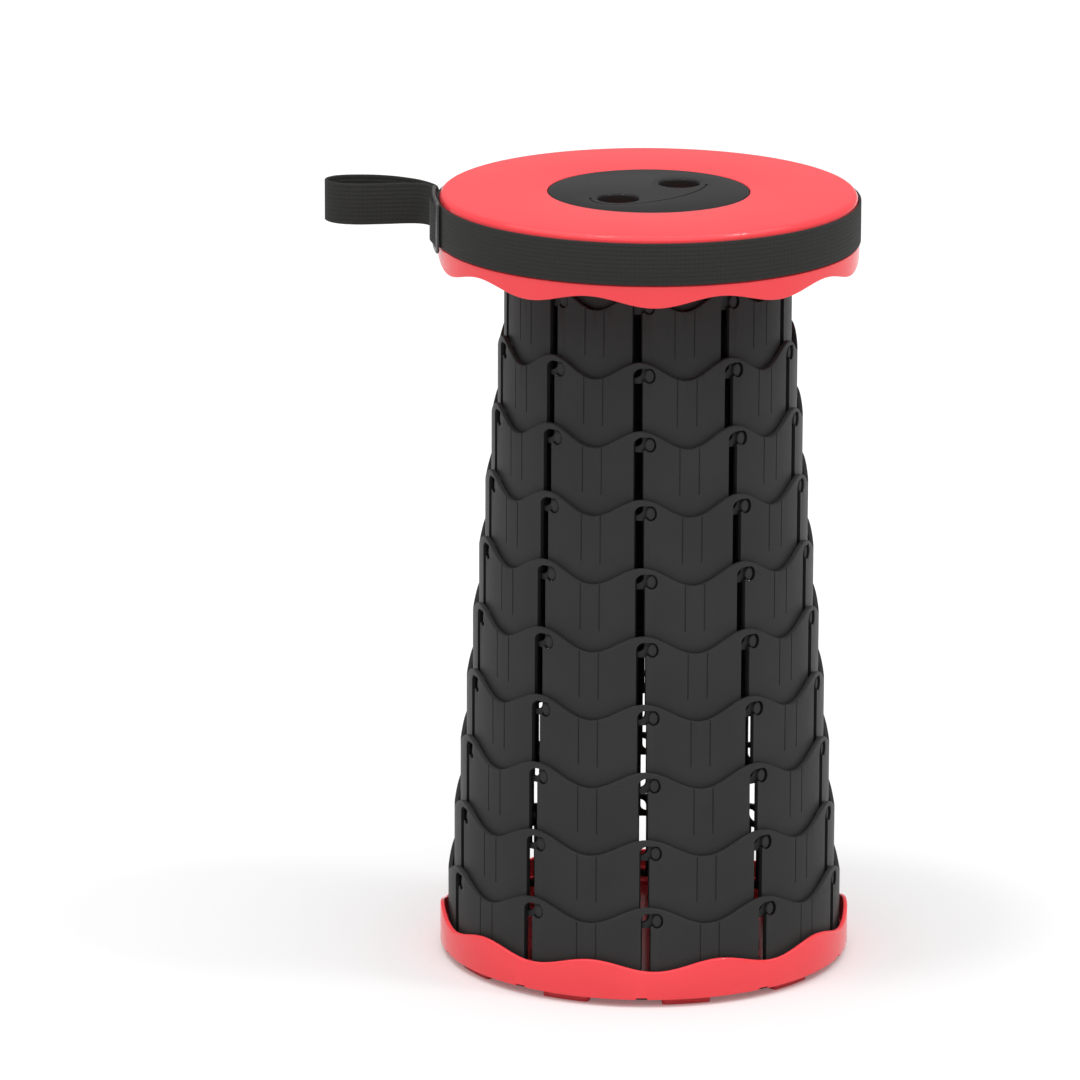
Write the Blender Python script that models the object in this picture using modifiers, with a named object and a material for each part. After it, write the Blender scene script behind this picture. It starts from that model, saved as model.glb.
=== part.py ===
"""Telescopic collapsible stool, shown extended.

Eleven nested leaf rings slide inside each other between a round seat and a round base. The pins near the
lower edge of each ring sit in the bayonet seats of the next ring out. Metres, +Z up, origin on the floor on
the stool's axis. Angles run from the front (-Y) towards +X.
"""

import math

import bmesh
import bpy
from mathutils import Matrix

# Counts
RINGS = 11
LEAVES = 10
FACETS_PER_LEAF = 3
FACETS = LEAVES * FACETS_PER_LEAF
PIN_SIDES = 6
HOLE_SIDES = 14
SEAT_STEPS = 3
CROWN_STEPS = 1
ROUND_STEPS = 3
PAD_STEPS = 2
BUCKLE_STEPS = 6
LINE_POINTS = 10
LOOP_RESOLUTION = 2

# Clearances, and how far a cutter reaches past what it cuts
FIT_GAP = 0.0003
SLIDE_GAP = 0.0004
OVERRUN = 0.004
SAME_POINT = 1e-6

# Leaf rings
OUTER_RING_RADIUS = 0.1161
RING_PITCH = 0.00359
RING_WALL = 0.0027
OUTER_RING_HEIGHT = 0.0524
NEST_RISE = 0.00033
WAVE_HEIGHT = 0.011
CREST_TURN = math.radians(0.7)
RING_TWIST = math.radians(0.518)
SLOT_TURN = math.radians(0.62)

# Bayonet: J-slot, pin and the pin's track inside the wall
SLOT_WIDTH = 0.0044
SLOT_FLOOR = 0.0034
SLOT_CROWN = 0.004
SEAT_REACH = 0.0036
SEAT_RISE = 0.0047
SEAT_OFFSET = 0.0066
SEAT_BELOW_CREST = 0.0081
SEAT_LIP = 0.003
PIN_RADIUS = 0.0026
PIN_RISE = 0.0038
PIN_ABOVE_EDGE = 0.0049
PIN_ROOT = 0.0004
TRACK_DEPTH = 0.0013

# Base tray and foot pads
PAD_HEIGHT = 0.0042
PAD_WIDTH = 0.0065
PAD_INSET = 0.0052
PAD_SWEEP = math.radians(14.3)
PAD_AFTER_NOTCH = math.radians(13.1)
BASE_FLOOR = 0.0016
DISH_DEPTH = 0.003
DISH_RADIUS = 0.1072
RIM_WALL = 0.0025
RIM_GAP = 0.0023
RIM_HEIGHT = 0.02
RIM_WAVE = 0.0062
RIM_TURN = math.radians(3.3)
RIM_EDGE = 0.0008
STEP_HEIGHT = 0.005
NOTCH_WIDTH = 0.0065
NOTCH_HEIGHT = 0.001
NOTCH_DEPTH = 0.0045
NOTCH_TURN = math.radians(-0.4)

# Seat lid
PLATE = 0.0023
LID_ROUND = 0.0038
LID_WALL = 0.0022
STRAP_TO_LEDGE = 0.0012
LEDGE = 0.0011
SKIRT_WALL = 0.0014
SKIRT_DROP = 0.0092
SKIRT_WAVE = 0.006
SKIRT_TURN = math.radians(1.9)
RIB_WALL = 0.002
RIB_HEIGHT = 0.005

# Centre disc, finger holes and finger cups
DISC_RADIUS = 0.0585
DISC_HEIGHT = 0.007
DISC_PLATE = 0.0026
DISC_RIM = 0.002
DISC_EDGE = 0.0005
DISC_GAP = 0.0004
WELL_WALL = 0.002
WELL_FLOOR = 0.0018
HOLE_RADIUS = 0.0118
HOLE_LIP = 0.0014
HOLE_COLLAR = 0.0022
HOLE_OFFSET = 0.0275
HOLE_LINE = math.radians(50)
CUP_STEP = 0.0006
CUP_WALL = 0.0016
CUP_DEPTH = 0.0165
LINE_LENGTH = 0.047
LINE_BREADTH = 0.0235
LINE_RADIUS = 0.0006
LINE_START = math.radians(22)
LINE_END = math.radians(163)

# Strap, buckle and carry loop
STRAP_WIDTH = 0.0244
STRAP_THICKNESS = 0.0015
BUCKLE_HEIGHT = 0.031
BUCKLE_THICKNESS = 0.0018
BUCKLE_SWEEP = math.radians(22)
BUCKLE_TURN = math.radians(-86)
BUCKLE_CORNER = 0.003
BUCKLE_BAR = 0.0032
LOOP_TURN = math.radians(-99.15)
LOOP_PARTING = 0.001
# The loop from end to end behind the buckle: outwards from the seat, and backwards
LOOP_ROUTE = [
    (0.0020, 0.0072),
    (0.0074, 0.0134),
    (0.0158, 0.0148),
    (0.0318, 0.0122),
    (0.0468, 0.0106),
    (0.0588, 0.0140),
    (0.0650, 0.0240),
    (0.0598, 0.0334),
    (0.0458, 0.0366),
    (0.0288, 0.0344),
    (0.0134, 0.0262),
    (0.0054, 0.0180),
    (0.0002, 0.0090),
]

# Heights and radii that follow
BASE_BOTTOM = PAD_HEIGHT + FIT_GAP
FLOOR_TOP = BASE_BOTTOM + BASE_FLOOR
STAGE_TRAVEL = OUTER_RING_HEIGHT - SEAT_BELOW_CREST - PIN_ABOVE_EDGE
RING_RISE = STAGE_TRAVEL + NEST_RISE
FACET_COS = math.cos(math.pi / FACETS)
RIM_INNER = OUTER_RING_RADIUS + RIM_GAP
RIM_OUTER = RIM_INNER + RIM_WALL
SKIRT_INNER = RIM_OUTER + FIT_GAP
SKIRT_OUTER = SKIRT_INNER + SKIRT_WALL
LID_OUTER = SKIRT_OUTER - LEDGE
LID_INNER = LID_OUTER - LID_WALL
STRAP_INNER = LID_OUTER + SLIDE_GAP
STRAP_OUTER = STRAP_INNER + STRAP_THICKNESS
WELL_RADIUS = DISC_RADIUS + DISC_GAP
LOOP_RADIUS = STRAP_OUTER + SLIDE_GAP + STRAP_THICKNESS + LOOP_PARTING / 2
LOOP_PIVOT = (LOOP_RADIUS * math.sin(LOOP_TURN), -LOOP_RADIUS * math.cos(LOOP_TURN))


def ring_radius(ring):
    """Outer radius of a ring, counted from the seat's collar outwards."""
    return OUTER_RING_RADIUS - (RINGS - ring) * RING_PITCH


def ring_crest(ring):
    """Height of a ring's wave crests with the stool extended."""
    return FLOOR_TOP + FIT_GAP + OUTER_RING_HEIGHT + (RINGS - ring) * RING_RISE


def seat_height(ring):
    """Height of the bayonet seats of a ring."""
    return ring_crest(ring) - SEAT_BELOW_CREST


def ring_bottom(ring):
    """Height of a ring's lower edge: its pins are in the seats of the next ring."""
    if ring == RINGS:
        return FLOOR_TOP + FIT_GAP
    return seat_height(ring + 1) - PIN_ABOVE_EDGE


def slot_angle(ring):
    """Angle of a ring's first slot. Each stage is turned a little in its bayonet."""
    return SLOT_TURN - (RINGS - ring) * RING_TWIST


def seat_angle(ring):
    """Angle of a ring's first bayonet seat, beside its slot."""
    return slot_angle(ring) + math.asin(SEAT_OFFSET / ring_radius(ring))


PLATE_BOTTOM = ring_crest(2) + STAGE_TRAVEL + SLIDE_GAP
SEAT_TOP = PLATE_BOTTOM + PLATE
STRAP_TOP = SEAT_TOP - LID_ROUND
STRAP_BOTTOM = STRAP_TOP - STRAP_WIDTH
STRAP_MIDDLE = (STRAP_TOP + STRAP_BOTTOM) / 2
LEDGE_TOP = STRAP_BOTTOM - STRAP_TO_LEDGE


def clear_scene():
    for old in list(bpy.data.objects):
        bpy.data.objects.remove(old)


def new_collection(name):
    collection = bpy.data.collections.new(name)
    bpy.context.scene.collection.children.link(collection)
    return collection


def new_material(name, colour, roughness):
    material = bpy.data.materials.new(name)
    material.use_nodes = True
    shader = material.node_tree.nodes["Principled BSDF"]
    shader.inputs["Base Color"].default_value = (*colour, 1.0)
    shader.inputs["Roughness"].default_value = roughness
    shader.inputs["Metallic"].default_value = 0.0
    return material


def place(name, mesh, collection, parent):
    """Links a mesh modelled in world coordinates under the empty of its body."""
    piece = bpy.data.objects.new(name, mesh)
    collection.objects.link(piece)
    mesh.transform(parent.matrix_world.inverted())
    piece.parent = parent
    return piece


def finish_part(piece, material):
    piece.data.materials.append(material)
    piece.data.shade_smooth()
    piece.data.set_sharp_from_angle(angle=math.radians(30))
    return piece


def new_axis(name, parent, location, collection):
    """An empty on a joint's axis, which carries one moving body."""
    axis = bpy.data.objects.new(name, None)
    axis.empty_display_size = 0.02
    collection.objects.link(axis)
    if parent is not None:
        axis.parent = parent
        axis.location = [a - b for a, b in zip(location, parent.matrix_world.translation)]
    else:
        axis.location = location
    bpy.context.view_layer.update()
    return axis


def mesh_from(bm, name):
    bmesh.ops.recalc_face_normals(bm, faces=bm.faces)
    mesh = bpy.data.meshes.new(name)
    bm.to_mesh(mesh)
    bm.free()
    return mesh


def turned(profile, sweep=math.tau, steps=FACETS, start=0.0):
    """A closed (radius, height) profile turned round the axis, from an angle on."""
    bm = bmesh.new()
    corners = [bm.verts.new((r * math.sin(start), -r * math.cos(start), z)) for r, z in profile]
    edges = [bm.edges.new((a, b)) for a, b in zip(corners, corners[1:] + corners[:1])]
    bmesh.ops.spin(
        bm, geom=corners + edges, cent=(0, 0, 0), axis=(0, 0, 1), angle=sweep, steps=steps
    )
    bmesh.ops.remove_doubles(bm, verts=bm.verts, dist=SAME_POINT)
    loose = [e for e in bm.edges if e.is_boundary]
    if loose:
        bmesh.ops.holes_fill(bm, edges=loose)
    return bm


def scallop(bm, level, mean, height, turn):
    """Turns the edge loops at one level into a wave with a crest per leaf."""

    def at_level(vert):
        return abs(vert.co.z - level) < SAME_POINT

    rim = []
    for edge in bm.edges:
        a, b = edge.verts
        if at_level(a) and at_level(b) and abs(a.co.xy.length - b.co.xy.length) < SAME_POINT:
            rim.append(edge)
    split = bmesh.ops.bisect_edges(bm, edges=rim, cuts=1)["geom_split"]
    bmesh.ops.connect_verts(bm, verts=[v for v in split if isinstance(v, bmesh.types.BMVert)])
    for vert in bm.verts:
        if at_level(vert):
            angle = math.atan2(vert.co.x, -vert.co.y)
            vert.co.z = mean + height / 2 * math.cos(LEAVES * (angle - turn))


def outline_mesh(points, depth):
    """A flat outline, filled and given a depth along local Z."""
    curve = bpy.data.curves.new("outline", "CURVE")
    curve.dimensions = "2D"
    curve.fill_mode = "BOTH"
    curve.extrude = depth / 2
    spline = curve.splines.new("POLY")
    spline.points.add(len(points) - 1)
    for point, (x, y) in zip(spline.points, points):
        point.co = (x, y, 0, 1)
    spline.use_cyclic_u = True
    return curve_mesh(curve)


def curve_mesh(curve):
    """The welded mesh of a curve, which is then removed."""
    holder = bpy.data.objects.new("holder", curve)
    bpy.context.scene.collection.objects.link(holder)
    bpy.context.view_layer.update()
    graph = bpy.context.evaluated_depsgraph_get()
    mesh = bpy.data.meshes.new_from_object(holder.evaluated_get(graph))
    bpy.data.objects.remove(holder)
    bpy.data.curves.remove(curve)
    bm = bmesh.new()
    bm.from_mesh(mesh)
    bpy.data.meshes.remove(mesh)
    bmesh.ops.remove_doubles(bm, verts=bm.verts, dist=SAME_POINT)
    return mesh_from(bm, "outline")


def facing(angle, radius, height):
    """Places a local XY outline square to the radius at an angle, with local Z outwards."""
    turn = Matrix.Rotation(angle, 4, "Z")
    reach = Matrix.Translation((0, -radius, height))
    return turn @ reach @ Matrix.Rotation(math.pi / 2, 4, "X")


def repeat_round(mesh, name, angle, radius, height):
    """One mesh repeated once per leaf, square to the radius."""
    bm = bmesh.new()
    for leaf in range(LEAVES):
        copy = mesh.copy()
        copy.transform(facing(angle + leaf * math.tau / LEAVES, radius, height))
        bm.from_mesh(copy)
        bpy.data.meshes.remove(copy)
    return mesh_from(bm, name)


def drum_mesh(radius, depth, sides):
    bm = bmesh.new()
    bmesh.ops.create_cone(
        bm, cap_ends=True, segments=sides, radius1=radius, radius2=radius, depth=depth
    )
    return mesh_from(bm, "drum")


def join_meshes(meshes, name):
    bm = bmesh.new()
    for mesh in meshes:
        bm.from_mesh(mesh)
    return mesh_from(bm, name)


def add_boolean(piece, tool, operation):
    tool.hide_render = True
    tool.display_type = "WIRE"
    modifier = piece.modifiers.new(operation.lower(), "BOOLEAN")
    modifier.operation = operation
    modifier.solver = "EXACT"
    modifier.object = tool


def arc(centre, radius, first, last, steps):
    """Points along an arc, with the angles in degrees."""
    points = []
    for step in range(steps + 1):
        angle = math.radians(first + (last - first) * step / steps)
        points.append((centre[0] + radius * math.cos(angle), centre[1] + radius * math.sin(angle)))
    return points


def j_slot(floor):
    """Outline of a J-slot about its seat's centre: a slot, its rounded crown and the oval seat."""
    left = -SEAT_OFFSET - SLOT_WIDTH / 2
    right = left + SLOT_WIDTH
    seat = [(x * SEAT_REACH, y * SEAT_RISE) for x, y in arc((0, 0), 1, 90, -140, SEAT_STEPS)]
    crown = arc((left + SLOT_CROWN, SEAT_RISE - SLOT_CROWN), SLOT_CROWN, 180, 90, CROWN_STEPS)
    return seat + [(right, -SEAT_LIP), (right, floor), (left, floor)] + crown


def ring_slots(ring):
    """All J-slots of a ring and the blind tracks in its wall that its pins run down."""
    radius = ring_radius(ring)
    inner = radius - RING_WALL
    seat = seat_height(ring)
    slot = outline_mesh(j_slot(ring_bottom(ring) + SLOT_FLOOR - seat), RING_WALL + 2 * OVERRUN)
    slots = repeat_round(slot, "slots", seat_angle(ring), radius - RING_WALL / 2, seat)
    half = PIN_RADIUS + SLIDE_GAP
    low = -STAGE_TRAVEL - PIN_RISE - SLIDE_GAP
    track = outline_mesh([(-half, low), (half, low), (half, 0), (-half, 0)], 2 * TRACK_DEPTH)
    tracks = repeat_round(track, "tracks", seat_angle(ring), inner, seat)
    return slots, tracks


def ring_pins(ring):
    """The oval pins of a ring, which end in the wall of the next ring out."""
    root = ring_radius(ring) * FACET_COS - PIN_ROOT
    tip = ring_radius(ring + 1) - RING_WALL + TRACK_DEPTH - FIT_GAP
    pin = drum_mesh(PIN_RADIUS, tip - root, PIN_SIDES)
    pin.transform(Matrix.Diagonal((1, PIN_RISE / PIN_RADIUS, 1, 1)))
    return repeat_round(pin, "pins", seat_angle(ring + 1), (tip + root) / 2, seat_height(ring + 1))


def leaf_ring(ring, body, parts, cutters, material):
    """One ring, faceted so that a single facet of each leaf holds the whole J-slot and its pin."""
    radius = ring_radius(ring)
    bottom = ring_bottom(ring)
    top = PLATE_BOTTOM - FIT_GAP if ring == 1 else ring_crest(ring) - WAVE_HEIGHT / 2
    wall = [(radius, top), (radius, bottom), (radius - RING_WALL, bottom), (radius - RING_WALL, top)]
    middle = (slot_angle(ring) + seat_angle(ring)) / 2
    bm = turned(wall, start=middle + math.pi / FACETS)
    if ring > 1:
        scallop(bm, top, top, WAVE_HEIGHT, slot_angle(ring) + CREST_TURN)
    name = f"leg_ring_{ring:02d}"
    piece = place(name, mesh_from(bm, name), parts, body)
    if ring > 1:
        for mesh in ring_slots(ring):
            add_boolean(piece, place(f"{name}_{mesh.name}", mesh, cutters, body), "DIFFERENCE")
    if ring < RINGS:
        add_boolean(piece, place(f"{name}_pins", ring_pins(ring), cutters, body), "UNION")
    return finish_part(piece, material)


def base_tray(body, parts, cutters, material):
    """The base: a wavy rim round the outer ring, and a floor that dishes down between the foot pads."""
    top = BASE_BOTTOM + RIM_HEIGHT
    step_radius = OUTER_RING_RADIUS / FACET_COS + FIT_GAP
    profile = [
        (RIM_INNER, top),
        (RIM_OUTER, top),
        (RIM_OUTER, BASE_BOTTOM + RIM_EDGE),
        (RIM_OUTER - RIM_EDGE, BASE_BOTTOM),
        (DISH_RADIUS, BASE_BOTTOM),
        (DISH_RADIUS, BASE_BOTTOM - DISH_DEPTH),
        (0, BASE_BOTTOM - DISH_DEPTH),
        (0, FLOOR_TOP - DISH_DEPTH),
        (DISH_RADIUS - BASE_FLOOR, FLOOR_TOP - DISH_DEPTH),
        (DISH_RADIUS - BASE_FLOOR, FLOOR_TOP),
        (step_radius, FLOOR_TOP),
        (step_radius, FLOOR_TOP + STEP_HEIGHT),
        (RIM_INNER, FLOOR_TOP + STEP_HEIGHT),
    ]
    bm = turned(profile)
    scallop(bm, top, top, RIM_WAVE, RIM_TURN + math.pi / LEAVES)
    piece = place("base_tray", mesh_from(bm, "base_tray"), parts, body)
    width, height = NOTCH_WIDTH / 2, NOTCH_HEIGHT
    notch = outline_mesh([(-width, -height), (width, -height), (width, height), (-width, height)],
                         2 * NOTCH_DEPTH)
    notches = repeat_round(notch, "notches", NOTCH_TURN, RIM_OUTER, BASE_BOTTOM)
    add_boolean(piece, place("base_notches", notches, cutters, body), "DIFFERENCE")
    return finish_part(piece, material)


def foot_pads(body, parts, material):
    outer = RIM_OUTER - PAD_INSET
    inner = outer - PAD_WIDTH
    profile = [(inner, PAD_HEIGHT), (outer, PAD_HEIGHT), (outer, 0), (inner, 0)]
    for leaf in range(LEAVES):
        middle = NOTCH_TURN + PAD_AFTER_NOTCH + leaf * math.tau / LEAVES
        bm = turned(profile, PAD_SWEEP, PAD_STEPS, middle - PAD_SWEEP / 2)
        name = f"foot_pad_{leaf + 1:02d}"
        finish_part(place(name, mesh_from(bm, name), parts, body), material)


def hole_spots():
    """Centres of the two finger holes."""
    x = HOLE_OFFSET * math.cos(HOLE_LINE)
    y = HOLE_OFFSET * math.sin(HOLE_LINE)
    return [(x, y), (-x, -y)]


def at_holes(radius, top, bottom, name):
    """One drum at each finger hole, between two heights."""
    drums = []
    for x, y in hole_spots():
        drum = drum_mesh(radius, top - bottom, HOLE_SIDES)
        drum.transform(Matrix.Translation((x, y, (top + bottom) / 2)))
        drums.append(drum)
    return join_meshes(drums, name)


def seat_lid(body, parts, cutters, material):
    well_floor = SEAT_TOP - DISC_HEIGHT - FIT_GAP
    well_bottom = well_floor - WELL_FLOOR
    rib_outer = (ring_radius(1) - RING_WALL) * FACET_COS - FIT_GAP
    rib_inner = rib_outer - RIB_WALL
    tips = LEDGE_TOP - SKIRT_DROP
    corner = (LID_OUTER - LID_ROUND, SEAT_TOP - LID_ROUND)
    profile = [(0, well_floor), (WELL_RADIUS, well_floor), (WELL_RADIUS, SEAT_TOP)]
    profile += arc(corner, LID_ROUND, 90, 0, ROUND_STEPS)
    profile += [
        (LID_OUTER, LEDGE_TOP),
        (SKIRT_OUTER, LEDGE_TOP - LEDGE),
        (SKIRT_OUTER, tips),
        (SKIRT_INNER, tips),
        (SKIRT_INNER, LEDGE_TOP - LEDGE),
        (LID_INNER, LEDGE_TOP + LEDGE),
        (LID_INNER, PLATE_BOTTOM),
        (rib_outer, PLATE_BOTTOM),
        (rib_outer, PLATE_BOTTOM - RIB_HEIGHT),
        (rib_inner, PLATE_BOTTOM - RIB_HEIGHT),
        (rib_inner, PLATE_BOTTOM),
        (WELL_RADIUS + WELL_WALL, PLATE_BOTTOM),
        (WELL_RADIUS + WELL_WALL, well_bottom),
        (0, well_bottom),
    ]
    bm = turned(profile)
    scallop(bm, tips, tips, SKIRT_WAVE, SKIRT_TURN + math.pi / LEAVES)
    piece = place("seat_lid", mesh_from(bm, "seat_lid"), parts, body)
    bore = HOLE_RADIUS - CUP_STEP
    cup_bottom = well_floor - CUP_DEPTH
    cups = at_holes(bore + CUP_WALL, well_floor - WELL_FLOOR / 2, cup_bottom - CUP_WALL, "cups")
    bores = at_holes(bore, well_floor + WELL_FLOOR, cup_bottom, "bores")
    add_boolean(piece, place("lid_cups", cups, cutters, body), "UNION")
    add_boolean(piece, place("lid_bores", bores, cutters, body), "DIFFERENCE")
    return finish_part(piece, material)


def arc_line():
    """A thin rod along part of an ellipse round the finger holes, which cuts the disc's line."""
    curve = bpy.data.curves.new("line", "CURVE")
    curve.dimensions = "3D"
    curve.bevel_depth = LINE_RADIUS
    curve.bevel_resolution = 0
    curve.use_fill_caps = True
    spline = curve.splines.new("POLY")
    spline.points.add(LINE_POINTS - 1)
    for step, point in enumerate(spline.points):
        angle = LINE_START + (LINE_END - LINE_START) * step / (LINE_POINTS - 1)
        along = LINE_LENGTH * math.cos(angle)
        across = LINE_BREADTH * math.sin(angle)
        x = along * math.cos(HOLE_LINE) + across * math.sin(HOLE_LINE)
        y = along * math.sin(HOLE_LINE) - across * math.cos(HOLE_LINE)
        point.co = (x, y, SEAT_TOP, 1)
    return curve_mesh(curve)


def seat_disc(body, parts, cutters, material):
    bottom = SEAT_TOP - DISC_HEIGHT
    underside = SEAT_TOP - DISC_PLATE
    profile = [
        (0, SEAT_TOP),
        (DISC_RADIUS - DISC_EDGE, SEAT_TOP),
        (DISC_RADIUS, SEAT_TOP - DISC_EDGE),
        (DISC_RADIUS, bottom),
        (DISC_RADIUS - DISC_RIM, bottom),
        (DISC_RADIUS - DISC_RIM, underside),
        (0, underside),
    ]
    piece = place("seat_disc", mesh_from(turned(profile), "seat_disc"), parts, body)
    collars = at_holes(HOLE_RADIUS + HOLE_COLLAR, SEAT_TOP - DISC_PLATE / 2, bottom, "collars")
    add_boolean(piece, place("disc_collars", collars, cutters, body), "UNION")
    cuts = []
    for x, y in hole_spots():
        lip = HOLE_RADIUS + HOLE_LIP
        cut = turned(
            [
                (0, SEAT_TOP + HOLE_LIP),
                (lip + HOLE_LIP, SEAT_TOP + HOLE_LIP),
                (HOLE_RADIUS, SEAT_TOP - HOLE_LIP),
                (HOLE_RADIUS, bottom - HOLE_LIP),
                (0, bottom - HOLE_LIP),
            ],
            steps=HOLE_SIDES,
        )
        mesh = mesh_from(cut, "cut")
        mesh.transform(Matrix.Translation((x, y, 0)))
        cuts.append(mesh)
    cuts.append(arc_line())
    holes = join_meshes(cuts, "holes")
    add_boolean(piece, place("disc_holes", holes, cutters, body), "DIFFERENCE")
    return finish_part(piece, material)


def strap_band(body, parts, material):
    profile = [
        (STRAP_INNER, STRAP_TOP),
        (STRAP_OUTER, STRAP_TOP),
        (STRAP_OUTER, STRAP_BOTTOM),
        (STRAP_INNER, STRAP_BOTTOM),
    ]
    piece = place("strap_band", mesh_from(turned(profile), "strap_band"), parts, body)
    return finish_part(piece, material)


def strap_buckle(body, parts, cutters, material):
    """A slide buckle that follows the strap's curve, with a window on each side of its middle bar."""
    inner = STRAP_OUTER + SLIDE_GAP
    outer = inner + BUCKLE_THICKNESS
    top = STRAP_MIDDLE + BUCKLE_HEIGHT / 2
    bottom = STRAP_MIDDLE - BUCKLE_HEIGHT / 2
    profile = [(inner, top), (outer, top), (outer, bottom), (inner, bottom)]
    start = BUCKLE_TURN - BUCKLE_SWEEP / 2
    bm = turned(profile, BUCKLE_SWEEP, BUCKLE_STEPS, start)
    corners = []
    for edge in bm.edges:
        a, b = edge.verts
        across = abs(a.co.z - b.co.z) < SAME_POINT and a.co.xy.cross(b.co.xy) ** 2 < SAME_POINT ** 2
        turn = abs(math.atan2(a.co.x, -a.co.y) - BUCKLE_TURN)
        if across and turn > BUCKLE_SWEEP / 2 - BUCKLE_SWEEP / BUCKLE_STEPS / 2:
            corners.append(edge)
    bmesh.ops.bevel(bm, geom=corners, offset=BUCKLE_CORNER, segments=2, profile=0.5, affect="EDGES")
    piece = place("strap_buckle", mesh_from(bm, "strap_buckle"), parts, body)
    length = BUCKLE_SWEEP * outer
    width = (length - 3 * BUCKLE_BAR) / 2
    height = BUCKLE_HEIGHT / 2 - BUCKLE_BAR
    windows = []
    for side in (-1, 1):
        outline = [(-width / 2, -height), (width / 2, -height), (width / 2, height), (-width / 2, height)]
        window = outline_mesh(outline, BUCKLE_THICKNESS + 2 * OVERRUN)
        turn = BUCKLE_TURN + side * (width + BUCKLE_BAR) / 2 / outer
        window.transform(facing(turn, outer, STRAP_MIDDLE))
        windows.append(window)
    cut = place("buckle_windows", join_meshes(windows, "windows"), cutters, body)
    add_boolean(piece, cut, "DIFFERENCE")
    return finish_part(piece, material)


def strap_loop(body, parts, material):
    """The carry loop: a strip of webbing on edge along its route, given its thickness."""
    x, y = LOOP_PIVOT
    end = (STRAP_THICKNESS + LOOP_PARTING) / 2
    route = [(end, 0.0)] + LOOP_ROUTE + [(-end, 0.0)]
    curve = bpy.data.curves.new("loop", "CURVE")
    curve.dimensions = "3D"
    curve.extrude = STRAP_WIDTH / 2
    curve.resolution_u = LOOP_RESOLUTION
    spline = curve.splines.new("BEZIER")
    spline.bezier_points.add(len(route) - 1)
    for point, (outwards, backwards) in zip(spline.bezier_points, route):
        point.co = (x - outwards, y + backwards, STRAP_MIDDLE)
        point.handle_left_type = "AUTO"
        point.handle_right_type = "AUTO"
    piece = place("strap_loop", curve_mesh(curve), parts, body)
    thickness = piece.modifiers.new("thickness", "SOLIDIFY")
    thickness.thickness = STRAP_THICKNESS
    thickness.offset = 0
    return finish_part(piece, material)


def main():
    clear_scene()
    parts = new_collection("telescopic_stool")
    cutters = new_collection("cutters")
    red = new_material("red_plastic", (0.85, 0.07, 0.08), 0.35)
    black = new_material("black_plastic", (0.035, 0.035, 0.035), 0.5)
    webbing = new_material("black_webbing", (0.022, 0.022, 0.021), 0.85)
    grey = new_material("dark_grey_plastic", (0.07, 0.07, 0.075), 0.4)
    rubber = new_material("red_rubber", (0.6, 0.06, 0.07), 0.6)

    body = new_axis("base_body", None, (0, 0, 0), parts)
    base_tray(body, parts, cutters, red)
    foot_pads(body, parts, rubber)
    for ring in range(RINGS, 0, -1):
        if ring < RINGS:
            name = "seat_body" if ring == 1 else f"ring_{ring:02d}_body"
            body = new_axis(name, body, (0, 0, ring_bottom(ring)), parts)
        leaf_ring(ring, body, parts, cutters, black)
    seat_lid(body, parts, cutters, red)
    seat_disc(body, parts, cutters, black)
    strap_band(body, parts, webbing)
    strap_buckle(body, parts, cutters, grey)
    loop = new_axis("loop_body", body, (*LOOP_PIVOT, STRAP_MIDDLE), parts)
    strap_loop(loop, parts, webbing)


main()
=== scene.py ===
import math

import bmesh
import bpy
from mathutils import Matrix, Vector
from mathutils.geometry import intersect_point_line


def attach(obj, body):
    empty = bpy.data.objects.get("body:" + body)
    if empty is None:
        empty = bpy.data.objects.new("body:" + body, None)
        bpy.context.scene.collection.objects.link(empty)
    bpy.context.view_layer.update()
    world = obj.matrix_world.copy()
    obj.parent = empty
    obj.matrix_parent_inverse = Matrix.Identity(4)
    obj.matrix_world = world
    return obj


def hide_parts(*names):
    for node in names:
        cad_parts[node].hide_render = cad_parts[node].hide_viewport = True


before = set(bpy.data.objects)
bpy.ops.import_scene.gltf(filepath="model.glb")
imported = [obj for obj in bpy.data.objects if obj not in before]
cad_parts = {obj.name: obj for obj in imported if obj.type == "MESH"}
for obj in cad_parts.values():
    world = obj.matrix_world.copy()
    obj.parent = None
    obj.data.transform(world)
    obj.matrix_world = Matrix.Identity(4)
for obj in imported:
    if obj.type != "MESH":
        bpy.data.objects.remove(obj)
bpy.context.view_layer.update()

# The stool's own sizes in metres, as in the CAD model
RINGS = 11
LEAVES = 10
FIT_GAP = 0.0003
SLIDE_GAP = 0.0004

OUTER_RING_RADIUS = 0.1161
RING_PITCH = 0.00359
RING_WALL = 0.0027
OUTER_RING_HEIGHT = 0.0524
NEST_RISE = 0.00033
WAVE_HEIGHT = 0.011
CREST_TURN = math.radians(0.7)
RING_TWIST = math.radians(0.518)
SLOT_TURN = math.radians(0.62)
SLOT_WIDTH = 0.0044
SLOT_FLOOR = 0.0034
SLOT_CROWN = 0.004
SEAT_RISE = 0.0047
SEAT_OFFSET = 0.0066
SEAT_BELOW_CREST = 0.0081
SEAT_LIP = 0.003
PIN_RADIUS = 0.0026
PIN_RISE = 0.0038
PIN_ABOVE_EDGE = 0.0049
PIN_ROOT = 0.0004

PAD_HEIGHT = 0.0042
PAD_WIDTH = 0.0065
PAD_INSET = 0.0052
PAD_SWEEP = math.radians(14.3)
PAD_AFTER_NOTCH = math.radians(13.1)
BASE_FLOOR = 0.0016
DISH_DEPTH = 0.003
DISH_RADIUS = 0.1072
RIM_WALL = 0.0025
RIM_GAP = 0.0023
RIM_HEIGHT = 0.02
RIM_WAVE = 0.0062
RIM_TURN = math.radians(3.3)
STEP_HEIGHT = 0.005
NOTCH_WIDTH = 0.0065
NOTCH_TURN = math.radians(-0.4)

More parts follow.
